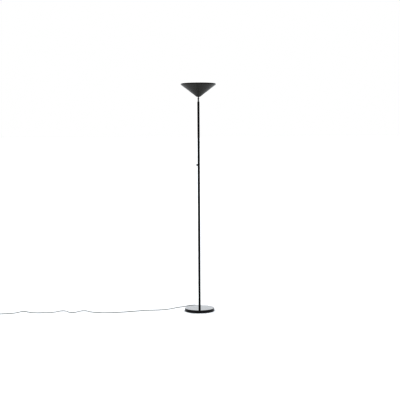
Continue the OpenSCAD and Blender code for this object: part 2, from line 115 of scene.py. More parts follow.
def make_world():
    """White all round to look at, and as light brightest behind and above the lamp."""
    world = bpy.data.worlds.new("studio")
    bpy.context.scene.world = world
    world.use_nodes = True
    tree = world.node_tree
    tree.nodes.clear()
    direction = new_node(tree, "TexCoord", {}).outputs["Generated"]
    part = new_node(tree, "SeparateXYZ", {0: direction}).outputs

    def rise(value, start, end, low, high):
        """Goes smoothly from low to high as the value goes from start to end."""
        inputs = {"Value": value, "From Min": start, "From Max": end, "To Min": low, "To Max": high}
        return new_node(tree, "MapRange", inputs, interpolation_type="SMOOTHSTEP").outputs["Result"]

    back = rise(part["Y"], -0.3, 0.95, FRONT_LIGHT, BACK_LIGHT)
    top = rise(part["Z"], 0.2, 1.0, 0.0, TOP_LIGHT)
    total = new_node(tree, "Math", {0: back, 1: top}, operation="ADD").outputs[0]
    lighting = new_node(tree, "Background", {"Color": (*DAYLIGHT, 1), "Strength": total})
    white = new_node(tree, "Background", {"Color": (1, 1, 1, 1), "Strength": 1.0})
    by_camera = new_node(tree, "LightPath", {}).outputs["Is Camera Ray"]
    mix = new_node(tree, "MixShader", {0: by_camera, 1: lighting.outputs[0], 2: white.outputs[0]})
    new_node(tree, "OutputWorld", {"Surface": mix.outputs[0]})


def make_softbox():
    """One large soft lamp overhead, which keeps a light shadow under the base."""
    data = bpy.data.lights.new("softbox", "AREA")
    data.shape = "SQUARE"
    data.size = 2.4
    data.energy = 14
    lamp = add("softbox", data)
    lamp.location = (-0.5, 0.6, 4.2)
    aim = Vector((0, 0, 0.6)) - lamp.location
    lamp.rotation_euler = aim.to_track_quat("-Z", "Y").to_euler()


def make_floor():
    mesh = bpy.data.meshes.new("floor")
    far = 400
    corners = [(-far, -far, 0), (far, -far, 0), (far, far, 0), (-far, far, 0)]
    mesh.from_pydata(corners, [], [(0, 1, 2, 3)])
    floor = add("floor", mesh)
    mesh.materials.append(floor_white().material)


# ---- materials ----


class Shader:
    """A material with one Principled shader, and short ways to vary it over the surface."""

    def __init__(self, name, color, roughness, metallic=0.0, ior=1.5):
        self.material = bpy.data.materials.new(name)
        self.material.use_nodes = True
        self.material.diffuse_color = (*color, 1)
        self.tree = self.material.node_tree
        self.bsdf = self.tree.nodes["Principled BSDF"]
        self.color = color
        self.set("Base Color", (*color, 1))
        self.set("Roughness", roughness)
        self.set("Metallic", metallic)
        self.set("IOR", ior)
        self.place = self.node("TexCoord", {}).outputs["Object"]
        self.last_bump = None

    def set(self, name, value):
        """A value that is the same all over, on the shader's own socket."""
        self.bsdf.inputs[name].default_value = value

    def node(self, kind, inputs, **settings):
        return new_node(self.tree, kind, inputs, **settings)

    def drive(self, name, source):
        """The shader's socket follows a node's."""
        self.tree.links.new(source, self.bsdf.inputs[name])

    def noise(self, size, detail=3.0, stretch=(1, 1, 1), place=None):
        """Noise from 0 to 1 whose features are about size metres."""
        mapping = self.node("Mapping", {"Scale": stretch, "Vector": place or self.place})
        inputs = {"Scale": 1 / size, "Detail": detail, "Vector": mapping.outputs[0]}
        return self.node("TexNoise", inputs).outputs["Fac"]

    def cells(self, size):
        """Distance inside cells of about size metres, as in a moulded or hammered grain."""
        inputs = {"Scale": 1 / size, "Vector": self.place}
        return self.node("TexVoronoi", inputs, feature="SMOOTH_F1").outputs["Distance"]

    def rows(self, size):
        """Rows about size metres apart, one above the other."""
        inputs = {"Scale": 1 / (20 * size), "Vector": self.place}
        return self.node("TexWave", inputs, bands_direction="Z").outputs["Fac"]

    def round_z(self):
        """Distance from the Z axis and height, for marks that run round a turned piece."""
        part = self.node("SeparateXYZ", {0: self.place}).outputs
        flat = self.node("CombineXYZ", {"X": part["X"], "Y": part["Y"]}).outputs[0]
        length = self.node("VectorMath", {0: flat}, operation="LENGTH").outputs["Value"]
        return self.node("CombineXYZ", {"X": length, "Z": part["Z"]}).outputs[0]

    def vary_roughness(self, value, low, high):
        """The roughness goes from low to high as the value goes from 0.3 to 0.7."""
        inputs = {"Value": value, "From Min": 0.3, "From Max": 0.7, "To Min": low, "To Max": high}
        self.drive("Roughness", self.node("MapRange", inputs).outputs["Result"])

    def vary_color(self, value, other, start=0.3, end=0.7):
        """The colour goes to other as the value goes from start to end."""
        ramp = self.node("ValToRGB", {"Fac": value})
        for stop, place, color in zip(ramp.color_ramp.elements, (start, end), (self.color, other)):
            stop.position = place
            stop.color = (*color, 1)
        self.drive("Base Color", ramp.outputs["Color"])

    def bump(self, value, height):
        """Relief from the value, height metres deep. Several add up."""
        inputs = {"Strength": 1.0, "Distance": height, "Height": value}
        if self.last_bump:
            inputs["Normal"] = self.last_bump
        self.last_bump = self.node("Bump", inputs).outputs["Normal"]
        self.drive("Normal", self.last_bump)


def floor_white():
    """Matt white paper."""
    s = Shader("floor_white", (0.86, 0.86, 0.86), 0.75)
    s.set("Specular IOR Level", 0.0)
    return s


def base_lacquer():
    """Deep gloss black on pressed steel: a slight flow in the lacquer and faint wiping marks."""
    s = Shader("base_lacquer", (0.004, 0.004, 0.005), 0.05, ior=1.38)
    wiped = s.noise(0.03, 4.0, (1, 4, 1))
    s.vary_roughness(wiped, 0.035, 0.085)
    s.bump(s.noise(0.006, 1.0), 2.5e-6)
    s.bump(s.noise(0.0012, 2.0), 0.5e-6)
    return s


def pole_lacquer():
    """Semi-gloss black stove enamel on tube, with an even fine texture."""
    s = Shader("pole_lacquer", (0.009, 0.009, 0.0092), 0.3, ior=1.2)
    s.vary_roughness(s.noise(0.008, 3.0, (1, 1, 0.2)), 0.25, 0.36)
    s.bump(s.noise(0.0009, 2.0), 3e-6)
    return s


def shade_lacquer():
    """Satin black on spun steel, which shows the spinning marks as faint rings."""
    s = Shader("shade_lacquer", (0.0175, 0.0165, 0.0132), 0.3, ior=1.5)
    rings = s.noise(0.0025, 3.0, place=s.round_z())
    s.vary_roughness(rings, 0.26, 0.36)
    s.bump(rings, 2.5e-6)
    s.bump(s.noise(0.0007, 2.0), 2e-6)
    return s


def white_lacquer():
    """Matt white heat-proof lacquer, a little creamier in places."""
    s = Shader("white_lacquer", (0.64, 0.637, 0.62), 0.55)
    s.vary_color(s.noise(0.06, 3.0), (0.61, 0.6, 0.575))
    s.vary_roughness(s.noise(0.01), 0.48, 0.62)
    s.bump(s.noise(0.0008, 2.0), 5e-6)
    return s


def chrome():
    """Dark satin chrome on brass, with fine polishing scratches and a slight haze."""
    s = Shader("chrome", (0.17, 0.172, 0.177), 0.24, metallic=1.0)
    s.vary_roughness(s.noise(0.003, 4.0), 0.2, 0.32)
    s.bump(s.noise(0.0015, 3.0, (1, 1, 6)), 1.2e-6)
    return s


def zinc_steel():
    """Bright zinc plating: silvery, with soft cloudy patches."""
    s = Shader("zinc_steel", (0.55, 0.56, 0.58), 0.32, metallic=1.0)
    s.vary_color(s.noise(0.004, 3.0), (0.62, 0.61, 0.57))
    s.vary_roughness(s.noise(0.0015, 4.0), 0.24, 0.44)
    s.bump(s.noise(0.0005, 3.0), 3e-6)
    return s


def cast_iron():
    """Raw grey iron with the grain of the sand mould."""
    s = Shader("cast_iron", (0.045, 0.043, 0.042), 0.72, metallic=0.6)
    s.vary_color(s.noise(0.02, 5.0), (0.075, 0.06, 0.05))
    s.bump(s.noise(0.0018, 6.0), 2e-4)
    return s


def foot_pad():
    """Closed-cell foam sheet, nearly black."""
    s = Shader("foot_pad", (0.022, 0.022, 0.023), 0.85)
    s.vary_color(s.noise(0.004), (0.032, 0.032, 0.033))
    s.bump(s.cells(0.0007), 1.2e-4)
    return s


def moulded(name, color, other, roughness, grain=0.0006, depth=1.5e-5):
    """A moulded plastic with a fine grain and a slightly uneven colour."""
    s = Shader(name, color, roughness)
    s.vary_color(s.noise(0.012), other)
    s.vary_roughness(s.noise(0.005), roughness - 0.06, roughness + 0.07)
    s.bump(s.cells(grain), depth)
    return s


def knob_plastic():
    return moulded("knob_plastic", (0.012, 0.012, 0.012), (0.016, 0.016, 0.016), 0.45)


def white_plastic():
    return moulded("white_plastic", (0.78, 0.78, 0.75), (0.74, 0.735, 0.7), 0.42)


def circuit_board():
    """Green board: the glass cloth shows through as a fine weave."""
    s = Shader("circuit_board", (0.02, 0.11, 0.045), 0.35)
    s.vary_color(s.noise(0.003, 2.0, (1, 0.3, 1)), (0.03, 0.15, 0.06))
    s.bump(s.noise(0.0006, 1.0, (1, 0.4, 1)), 1e-5)
    return s


def component_black():
    return moulded("component_black", (0.012, 0.012, 0.013), (0.02, 0.02, 0.021), 0.5)


def component_yellow():
    return moulded("component_yellow", (0.62, 0.36, 0.04), (0.55, 0.31, 0.03), 0.25, 0.002, 4e-6)


def copper_wire():
    """Enamelled copper winding: rows of wire round the choke."""
    s = Shader("copper_wire", (0.5, 0.2, 0.08), 0.28, metallic=0.9)
    rows = s.rows(0.0006)
    s.vary_color(rows, (0.28, 0.09, 0.035))
    s.bump(rows, 1.5e-4)
    return s


def brass():
    """Plain turned brass, a little dull."""
    s = Shader("brass", (0.62, 0.44, 0.17), 0.25, metallic=1.0)
    s.vary_color(s.noise(0.003, 3.0), (0.5, 0.34, 0.12))
    s.vary_roughness(s.noise(0.001, 4.0), 0.18, 0.38)
    s.bump(s.noise(0.0004, 3.0, (1, 8, 1)), 2e-6)
    return s


def ceramic():
    """Unglazed steatite: chalky ivory with a fine speckle."""
    s = Shader("ceramic", (0.8, 0.77, 0.7), 0.6)
    s.vary_color(s.noise(0.0012, 5.0), (0.7, 0.66, 0.58), 0.45, 0.8)
    s.bump(s.noise(0.0008, 4.0), 2e-5)
    s.set("Subsurface Weight", 0.06)
    s.set("Subsurface Radius", (0.002, 0.0015, 0.001))
    return s


def quartz():
    """Clear fused quartz."""
    s = Shader("quartz", (0.97, 0.98, 1.0), 0.02, ior=1.46)
    s.set("Transmission Weight", 1.0)
    s.bump(s.noise(0.006, 1.0), 6e-6)
    return s


def shield_glass():
    """Toughened glass with its slight green and a barely uneven surface."""
    s = Shader("shield_glass", (0.93, 0.985, 0.965), 0.015, ior=1.52)
    s.set("Transmission Weight", 1.0)
    s.bump(s.noise(0.03, 1.0), 8e-6)
    return s


def tungsten():
    s = Shader("tungsten", (0.16, 0.16, 0.17), 0.42, metallic=1.0)
    s.vary_color(s.noise(0.0008, 3.0), (0.24, 0.23, 0.22))
    s.bump(s.noise(0.0002, 2.0), 3e-6)
    return s


def reflector_aluminium():
    """Bright anodised sheet, hammered so that it spreads the light."""
    s = Shader("reflector_aluminium", (0.86, 0.865, 0.87), 0.16, metallic=1.0)
    s.vary_roughness(s.noise(0.002), 0.12, 0.22)
    s.bump(s.cells(0.0045), 2.5e-4)
    return s


def fibre():
    """Pressed brown fibre."""
    s = Shader("fibre", (0.22, 0.12, 0.055), 0.7)
    s.vary_color(s.noise(0.0009, 5.0, (1, 3, 1)), (0.13, 0.07, 0.035))
    s.bump(s.noise(0.0004, 4.0), 2e-5)
    return s


def wire_insulation():
    """White silicone rubber sleeve with a braid's faint relief."""
    s = Shader("wire_insulation", (0.76, 0.76, 0.73), 0.5)
    s.vary_color(s.noise(0.003), (0.7, 0.69, 0.65))
    s.bump(s.cells(0.0004), 2e-5)
    return s


def cord_pvc():
    """Pale grey soft PVC with a matt drawn skin and a few rubbed spots."""
    s = Shader("cord_pvc", (0.2, 0.2, 0.198), 0.42)
    s.vary_color(s.noise(0.04, 4.0), (0.175, 0.175, 0.173))
    s.vary_roughness(s.noise(0.01, 4.0), 0.36, 0.52)
    s.bump(s.noise(0.0007, 3.0), 1.2e-5)
    return s


MATERIALS = {
    make.__name__: make().material
    for make in (
        base_lacquer, pole_lacquer, shade_lacquer, white_lacquer, chrome, zinc_steel, cast_iron, foot_pad,
        knob_plastic, white_plastic, circuit_board, component_black, component_yellow, copper_wire, brass,
        ceramic, quartz, shield_glass, tungsten, reflector_aluminium, fibre, wire_insulation, cord_pvc,
    )
}
SLOT_OF = {part["node"]: part["material_slot"] for part in frame["record"]["subparts"]}
BODY_OF = {node: body for body, members in frame["record"]["behaviour"]["bodies"].items() for node in members}

# ---- shapes ----

FACE_ANGLE = math.radians(32)    # edges sharper than this stay sharp


def fillet(points, radius, steps=4):
    """The closed outline with each corner rounded to radius, or to its own where radius is a list."""
    radii = radius if isinstance(radius, (list, tuple)) else [radius] * len(points)
    out = []
    for i, corner in enumerate(points):
        corner = Vector(corner)
        to_last = Vector(points[i - 1]) - corner
        to_next = Vector(points[(i + 1) % len(points)]) - corner
        half = to_last.angle(to_next) / 2
        if radii[i] <= 0 or half > math.radians(89.5):
            out.append(tuple(corner))
            continue
        room = 0.49 * min(to_last.length, to_next.length)
        reach = min(radii[i] / math.tan(half), room)
        r = reach * math.tan(half)
        middle = corner + (to_last.normalized() + to_next.normalized()).normalized() * (r / math.sin(half))
        start = corner + to_last.normalized() * reach - middle
        sweep = math.pi - 2 * half
        side = 1 if to_last.x * to_next.y - to_last.y * to_next.x < 0 else -1
        for k in range(steps + 1):
            a = side * sweep * k / steps
            out.append((
                middle.x + start.x * math.cos(a) - start.y * math.sin(a),
                middle.y + start.x * math.sin(a) + start.y * math.cos(a),
            ))
    return out


def mesh_object(name, mesh_or_bm, place=None):
    """A smooth-shaded object from a mesh or bmesh, with sharp edges kept and normals outwards."""
    if isinstance(mesh_or_bm, bmesh.types.BMesh):
        bmesh.ops.recalc_face_normals(mesh_or_bm, faces=mesh_or_bm.faces)
        mesh = bpy.data.meshes.new(name)
        mesh_or_bm.to_mesh(mesh)
        mesh_or_bm.free()
    else:
        mesh = mesh_or_bm
    if place:
        mesh.transform(place)
    mesh.shade_smooth()
    mesh.set_sharp_from_angle(angle=FACE_ANGLE)
    return add(name, mesh)


def lathe(name, outline, steps=64, place=None, radius_at=None):
    """A closed piece turned about Z from an outline of (radius, height); place moves it.

    radius_at(radius, height, angle) may change the radius round the turn.
    """
    bm = bmesh.new()
    axis_limit = 1e-7
    rings = []
    for r, z in outline:
        if r < axis_limit:
            rings.append([bm.verts.new((0, 0, z))] * steps)
            continue
        ring_verts = []
        for k in range(steps):
            a = TURN * k / steps
            here = radius_at(r, z, a) if radius_at else r
            ring_verts.append(bm.verts.new((here * math.cos(a), here * math.sin(a), z)))
        rings.append(ring_verts)
    for i, low in enumerate(rings):
        high = rings[(i + 1) % len(rings)]
        if low[0] is low[1] and high[0] is high[1]:
            continue
        for k in range(steps):
            m = (k + 1) % steps
            corners = []
            for v in (low[k], low[m], high[m], high[k]):
                if v not in corners:
                    corners.append(v)
            bm.faces.new(corners)
    return mesh_object(name, bm, place)


def prism(name, outline, low, high, bevel=0.0, place=None, segments=3):
    """A closed outline in XY raised from low to high along Z, its edges rounded by bevel."""
    bm = bmesh.new()
    bottom = [bm.verts.new((x, y, low)) for x, y in outline]
    top = [bm.verts.new((x, y, high)) for x, y in outline]
    bm.faces.new(list(reversed(bottom)))
    bm.faces.new(top)
    count = len(outline)
    for k in range(count):
        m = (k + 1) % count
        bm.faces.new((bottom[k], bottom[m], top[m], top[k]))
    if bevel:
        bm.normal_update()
        sharp = [e for e in bm.edges if e.calc_face_angle(0) > FACE_ANGLE]
        bmesh.ops.bevel(bm, geom=sharp, offset=bevel, segments=segments, affect="EDGES", profile=0.5)
    return mesh_object(name, bm, place)


def rectangle(x0, x1, y0, y1):
    return [(x0, y0), (x1, y0), (x1, y1), (x0, y1)]


def hexagon(corner):
    return [(corner * math.cos(TURN * k / 6), corner * math.sin(TURN * k / 6)) for k in range(6)]


def rod(radius, low, high):
    """Outline of a round bar."""
    return [(0, low), (radius, low), (radius, high), (0, high)]


def block(name, low, high, bevel):
    """A box between two corners with rounded edges."""
    return prism(name, rectangle(low[0], high[0], low[1], high[1]), low[2], high[2], bevel)


def curve(name, points, radius, sides=3, smooth=True):
    """A round wire through points, as a curve of one spline."""
    data = bpy.data.curves.new(name, "CURVE")
    data.dimensions = "3D"
    data.bevel_depth = radius
    data.bevel_resolution = sides
    data.use_fill_caps = True
    data.resolution_u = 6
    if smooth:
        spline = data.splines.new("BEZIER")
        spline.bezier_points.add(len(points) - 1)
        for knot, point in zip(spline.bezier_points, points):
            knot.co = point
            knot.handle_left_type = knot.handle_right_type = "AUTO"
    else:
        spline = data.splines.new("POLY")
        spline.points.add(len(points) - 1)
        for knot, point in zip(spline.points, points):
            knot.co = (*point, 1)
        spline.use_smooth = True
    return add(name, data)


def as_mesh(wire):
    """The same wire as a mesh object."""
    bpy.context.view_layer.update()
    made = wire.evaluated_get(bpy.context.evaluated_depsgraph_get())
    mesh = bpy.data.meshes.new_from_object(made)
    name = wire.name
    bpy.data.objects.remove(wire)
    return add(name, mesh)


def cut(piece, *cutters):
    """Takes the cutters away from the piece, and deletes them."""
    for cutter in cutters:
        change(piece, cutter, "DIFFERENCE")
    return piece


def weld(piece, *others):
    """Joins the others to the piece as one solid, and deletes them."""
    for other in others:
        change(piece, other, "UNION")
    return piece


def change(piece, other, operation):
    modifier = piece.modifiers.new("solid", "BOOLEAN")
    modifier.operation = operation
    modifier.solver = "EXACT"
    modifier.object = other
    bpy.context.view_layer.update()
    made = piece.evaluated_get(bpy.context.evaluated_depsgraph_get())
    mesh = bpy.data.meshes.new_from_object(made)
    piece.modifiers.clear()
    piece.data = mesh
    bpy.data.objects.remove(other)
    mesh.shade_smooth()
    mesh.set_sharp_from_angle(angle=FACE_ANGLE)


def join(piece, *others):
    """Puts separate closed solids into one object."""
    bm = bmesh.new()
    for one in (piece, *others):
        bm.from_mesh(one.data)
    mesh = bpy.data.meshes.new(piece.name)
    bm.to_mesh(mesh)
    bm.free()
    name = piece.name
    for one in (piece, *others):
        bpy.data.objects.remove(one)
    return mesh_object(name, mesh)


def extra_piece(piece, body, slot):
    """The piece gets its material and body, and flat faces that stay flat beside rounded edges."""
    piece.data.materials.clear()
    piece.data.materials.append(MATERIALS[slot])
    if piece.type == "MESH":
        modifier = piece.modifiers.new("flat_faces", "WEIGHTED_NORMAL")
        modifier.keep_sharp = True
        modifier.weight = 100
    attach(piece, body)
    return piece


def finish_piece(piece, node, *more):
    """The same for a piece that stands for a CAD node, and more of them."""
    extra_piece(piece, BODY_OF[node], SLOT_OF[node])
    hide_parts(node, *more)
    return piece


def along_y(x=0.0, y=0.0, z=0.0):
    """Turns a piece made along +Z to +Y, at a place."""
    return Matrix.Translation((x, y, z)) @ Matrix.Rotation(math.radians(-90), 4, "X")


def against_y(x=0.0, y=0.0, z=0.0):
    """Turns a piece made along +Z to -Y, at a place."""
    return Matrix.Translation((x, y, z)) @ Matrix.Rotation(math.radians(90), 4, "X")


def against_x(x=0.0, y=0.0, z=0.0):
    """Turns a piece made along +Z to -X, at a place."""
    return Matrix.Translation((x, y, z)) @ Matrix.Rotation(math.radians(-90), 4, "Y")


def side_view():
    """Puts an outline of (y, z) upright, and raises it along +X."""
    return Matrix(((0, 0, 1, 0), (1, 0, 0, 0), (0, 1, 0, 0), (0, 0, 0, 1)))


def end_view():
    """Puts an outline of (x, z) upright, and raises it along -Y."""
    return Matrix(((1, 0, 0, 0), (0, 0, -1, 0), (0, 1, 0, 0), (0, 0, 0, 1)))


def about_z(degrees):
    return Matrix.Rotation(math.radians(degrees), 4, "Z")


def lying(node):
    """The axis height and the radius of a node that is round about a level axis."""
    low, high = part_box(node)
    return (low.z + high.z) / 2, (high.z - low.z) / 2


def turned_tube(outer, inner, low, high, edge=0.3 * MM):
    """Outline of a tube with rounded ends."""
    outline = rectangle(inner, outer, low, high)
    return fillet(outline, [0.4 * edge, edge, edge, 0.4 * edge])


def make_ring(node, name, bore, edge=0.3 * MM, steps=96):
    """A plain upright tube, ring or washer in a node's place."""
    low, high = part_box(node)
    return finish_piece(lathe(name, turned_tube(high.x, bore, low.z, high.z, edge), steps), node)


# ---- cord ----

CORD = 5 * MM
CORD_EXIT = (0, 0.144, 0.007)
CORD_DROP = [CORD_EXIT, (0, 0.157, 0.0067), (0, 0.174, 0.0048), (-0.005, 0.194, 0.003)]
CORD_ROUTE = [                   # (x, y) where it lies on the floor
    (-0.023, 0.211), (-0.050, 0.216), (-0.082, 0.202), (-0.116, 0.169), (-0.190, 0.108),
    (-0.265, 0.040), (-0.335, 0.017), (-0.440, 0.002), (-0.540, -0.036), (-0.700, -0.080),
    (-0.785, -0.077), (-0.862, -0.046), (-0.894, -0.012), (-0.920, 0.003), (-0.944, -0.003),
    (-0.962, -0.024), (-0.979, -0.051), (-1.002, -0.065), (-1.028, -0.059), (-1.048, -0.032),
    (-1.069, -0.002), (-1.094, 0.006), (-1.119, -0.009), (-1.147, -0.042), (-1.195, -0.060),
    (-1.328, -0.060), (-1.364, -0.034), (-1.391, -0.012), (-1.417, -0.016), (-1.437, -0.044),
    (-1.461, -0.072), (-1.500, -0.088), (-1.575, -0.106),
]
TAIL_ROUTE = [                   # from the coil to the plug
    (-1.656, -0.087, 0.0078), (-1.660, -0.076, 0.0085), (-1.664, -0.065, 0.0076), (-1.668, -0.054, 0.0058),
    (-1.671, -0.042, 0.0048), (-1.672, -0.030, 0.0062), (-1.672, -0.022, 0.00685),
]
COIL_CENTRE = Vector((-1.630, -0.078))
COIL_LIFT = 1 * MM
COIL_INNER, COIL_OUTER = mm(25, 30)
COIL_FLOOR = COIL_LIFT + CORD / 2    # axis height of the two lower turns
# radius and axis height of the third, which lies in their groove
COIL_TOP = ((COIL_INNER + COIL_OUTER) / 2, COIL_FLOOR + CORD * math.sqrt(3) / 2)
COIL_START = 270             # degrees: where the run reaches the coil
COIL_SWEEP = 780             # degrees wound, clockwise from above
COIL_STEP = 15


def ease(value, start, end):
    """0 before start, 1 after end, and smooth between."""
    t = min(1.0, max(0.0, (value - start) / (end - start)))
    return t * t * (3 - 2 * t)


def coil_section(wound):
    """(radius, height) of the cord's axis: an outer turn that slips in under the third,
    an inner turn that climbs into the groove, and the third on top."""
    if wound < 360:
        a = math.radians(-60 - 60 * ease(wound, 200, 340))
        return Vector(COIL_TOP) + CORD * Vector((math.cos(a), math.sin(a)))
    if wound < 720:
        a = math.radians(180 - 60 * ease(wound - 360, 100, 180))
        return Vector((COIL_OUTER, COIL_FLOOR)) + CORD * Vector((math.cos(a), math.sin(a)))
    return COIL_TOP


def coil_points():
    points = []
    for wound in range(0, COIL_SWEEP + 1, COIL_STEP):
        radius, height = coil_section(wound)
        a = math.radians(COIL_START - wound)
        points.append((COIL_CENTRE.x + radius * math.cos(a), COIL_CENTRE.y + radius * math.sin(a), height))
    return points


def make_gland():
    """The tapered strain relief, with the grooves that let it bend."""
    low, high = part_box("cord_gland")
    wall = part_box("base_shell")[1].y
    inner, mouth = low.y - wall, high.y - wall
    collar, neck = high.x, 4.1 * MM
    bore = CORD / 2 + 0.02 * MM
    outline = [(bore, inner), (collar, inner), (collar, -1.75 * MM), (neck, -1.75 * MM), (neck, 0)]
    outline += [(collar, 0), (collar, 1.8 * MM)]
    grooves = 6
    start, pitch = 3.2 * MM, (mouth - 5 * MM) / grooves
    for k in range(grooves):
        y = start + k * pitch
        outer = (4.6 - 0.2 * k) * MM
        outline += [(outer - 0.9 * MM, y), (outer, y + 0.5 * MM), (outer, y + pitch - 0.9 * MM)]
        outline += [(outer - 0.9 * MM, y + pitch - 0.4 * MM)]
    outline += [(3.2 * MM, mouth - 1.2 * MM), (2.9 * MM, mouth), (bore, mouth)]
    piece = lathe("strain_relief", fillet(outline, 0.25 * MM, 3), 48, along_y(0, wall, CORD_EXIT[2]))
    return finish_piece(piece, "cord_gland")


def make_tie():
    """A soft strap round the three turns, with a buckle."""
    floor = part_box("cord_tie")[0].z + 0.02 * MM
    gap, thick, width = mm(0.25, 0.8, 6)
    turns = [(COIL_OUTER, COIL_FLOOR), COIL_TOP, (COIL_INNER, COIL_FLOOR)]

    def band(grow):
        """The outline that wraps three round cords at this distance."""
        r = CORD / 2 + grow
        out = []
        for (x, z), first in zip(turns, (-90, 30, 150)):
            for k in range(9):
                a = math.radians(first + 120 * k / 8)
                out.append((x + r * math.cos(a), max(z + r * math.sin(a), floor)))
        return out

    outer, inner = band(gap + thick), band(gap)
    bm = bmesh.new()
    a, b, c, d = [
        [bm.verts.new((x, side, z)) for x, z in line]
        for side in (-width / 2, width / 2)
        for line in (outer, inner)
    ]
    count = len(a)
    for k in range(count):
        m = (k + 1) % count
        bm.faces.new((a[k], a[m], c[m], c[k]))
        bm.faces.new((b[k], d[k], d[m], b[m]))
        bm.faces.new((a[k], b[k], b[m], a[m]))
        bm.faces.new((c[k], c[m], d[m], d[k]))
    sharp = [e for e in bm.edges if e.calc_face_angle(0) > math.radians(60)]
    bmesh.ops.bevel(bm, geom=sharp, offset=0.2 * MM, segments=2, affect="EDGES", profile=0.5)
    place = Matrix.Translation((COIL_CENTRE.x, COIL_CENTRE.y, 0)) @ about_z(235)
    strap = mesh_object("cord_strap", bm, place)
    near, far, half = COIL_OUTER + 3.0 * MM, COIL_OUTER + 4.4 * MM, 3.6 * MM
    buckle = block("buckle", (near, -half, 3.0 * MM), (far, half, 8.2 * MM), 0.4 * MM)
    buckle.data.transform(place)
    return finish_piece(join(strap, buckle), "cord_tie")


def ellipse_row(y, half_x, half_z, square, count):
    """Points of a rounded cross-section of the plug; square 2 is an ellipse, and more is boxier."""
    row = []
    for k in range(count):
        a = TURN * k / count
        c, s = math.cos(a), math.sin(a)
        x = math.copysign(abs(c) ** (2 / square), c) * half_x
        z = math.copysign(abs(s) ** (2 / square), s) * half_z
        row.append((x, y, z))
    return row


def make_plug():
    """A flat moulded two-pin plug: a ribbed neck, a waisted grip and a broad face."""
    low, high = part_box("plug_body")
    centre = Vector(((low.x + high.x) / 2, low.y, (low.z + high.z) / 2))
    long, wide, deep = [size / MM for size in (high.y - low.y, (high.x - low.x) / 2, (high.z - low.z) / 2)]
    rows = [(0, 3.3, 3.3, 2)]                # in mm along, half across, half up, and how square
    for k in range(4):                       # neck ribs
        y, r = 1.2 + 2.9 * k, 3.5 + 0.28 * k
        rows += [(y, r, r, 2), (y + 1.3, r, r, 2)]
        r -= 0.6
        rows += [(y + 1.6, r, r, 2), (y + 2.5, r, r, 2)]
    rows += [
        (13.2, 5.2, 4.7, 2.1), (17, 6.8, 5.5, 2.3), (23, 9.6, 6.3, 2.6), (29, 12.3, 6.6, 3.0),
        (36, 14.6, 6.75, 3.3), (43, wide - 0.7, deep - 0.02, 3.6), (long - 1.2, wide - 0.1, deep, 3.8),
        (long - 0.4, wide - 0.35, deep - 0.3, 3.8), (long, wide - 1.1, deep - 1.1, 3.8),
    ]
    count = 48
    bm = bmesh.new()
    rings = [[bm.verts.new(p) for p in ellipse_row(*mm(*row[:3]), row[3], count)] for row in rows]
    for a, b in zip(rings, rings[1:]):
        for k in range(count):
            m = (k + 1) % count
            bm.faces.new((a[k], a[m], b[m], b[k]))
    bm.faces.new(list(reversed(rings[0])))
    bm.faces.new(rings[-1])
    plug = mesh_object("plug", bm, Matrix.Translation(centre))
    across, along = mm(6.2, 0.6)
    grips = []
    for side in (1, -1):                     # grip ribs, sunk across both flat faces
        face = centre.z + side * deep * MM
        for k in range(4):
            y = centre.y + (29 + 3.2 * k) * MM
            rib = rectangle(centre.x - across, centre.x + across, y - along, y + along)
            grips.append(prism("grip", fillet(rib, 0.55 * MM), face - 0.7 * MM, face + 0.3 * MM, 0.15 * MM))
    cut(plug, *grips)
    return finish_piece(plug, "plug_body")


def make_pins():
    """Two round pins with sleeved roots and rounded tips."""
    low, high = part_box("plug_pins")
    axis_z, radius = lying("plug_pins")
    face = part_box("plug_body")[1].y
    metal = fillet(rod(radius, 0, high.y - face), [0, 0, 1.4 * MM, 0], 8)
    cover = turned_tube(radius + 0.05 * MM, radius - 0.3 * MM, -0.5 * MM, 10 * MM, 0.15 * MM)
    pins, sleeves = [], []
    for x in (low.x + radius, high.x - radius):
        pins.append(lathe("plug_pin", metal, 40, along_y(x, face, axis_z)))
        sleeves.append(lathe("pin_sleeve", cover, 40, along_y(x, face, axis_z)))
    pair = finish_piece(join(*pins), "plug_pins")
    return pair, extra_piece(join(*sleeves), "stand", "component_black")


def make_cord():
    inside = (0, CORD_EXIT[1] - 12 * MM, CORD_EXIT[2])
    on_floor = [(x, y, CORD / 2) for x, y in CORD_ROUTE]
    points = [inside, *CORD_DROP, *on_floor, *coil_points(), *TAIL_ROUTE]
    cord = curve("mains_cord", points, CORD / 2, sides=4)
    gland, tie, plug = make_gland(), make_tie(), make_plug()
    pins, sleeves = make_pins()
    finish_piece(cord, "cord_run", "cord_coil", "cord_tail")


# ---- base ----


def make_base_shell():
    """The pressed cover: a flat top, a rounded shoulder and a folded lower edge."""
    low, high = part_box("base_shell")
    cord_z, _ = lying("cord_gland")
    radius, wall, hole = high.x, 1.5 * MM, 5.2 * MM
    outline = fillet(
        [(hole, high.z), (hole, high.z - wall), (radius - wall, high.z - wall), (radius - wall, low.z),
         (radius, low.z), (radius, high.z)],
        mm(0.3, 0.3, 1.5, 0.3, 0.6, 3), 8,
    )
    shell = lathe("base_cover", outline, 256)
    cut(shell, lathe("hole", rod(4.2 * MM, -8 * MM, 8 * MM), 48, along_y(0, radius, cord_z)))
    return finish_piece(shell, "base_shell")


# ---- pole ----


def make_tube(node, name, hole_z=None):
    """A pole tube with softened ends, and a hole where the dimmer comes through."""
    low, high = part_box(node)
    outer, wall, edge = high.x, 1.2 * MM, 0.4 * MM
    outline = [(outer - wall, low.z), (outer - edge, low.z), (outer, low.z + edge)]
    outline += [(outer, high.z - edge), (outer - edge, high.z), (outer - wall, high.z)]
    piece = lathe(name, fillet(outline, mm(0, 0.3, 0.5, 0.5, 0.3, 0)), 96)
    if hole_z:
        cut(piece, lathe("hole", rod(3.6 * MM, 0, 2 * outer), 48, against_x(0, 0, hole_z)))
    return finish_piece(piece, node)


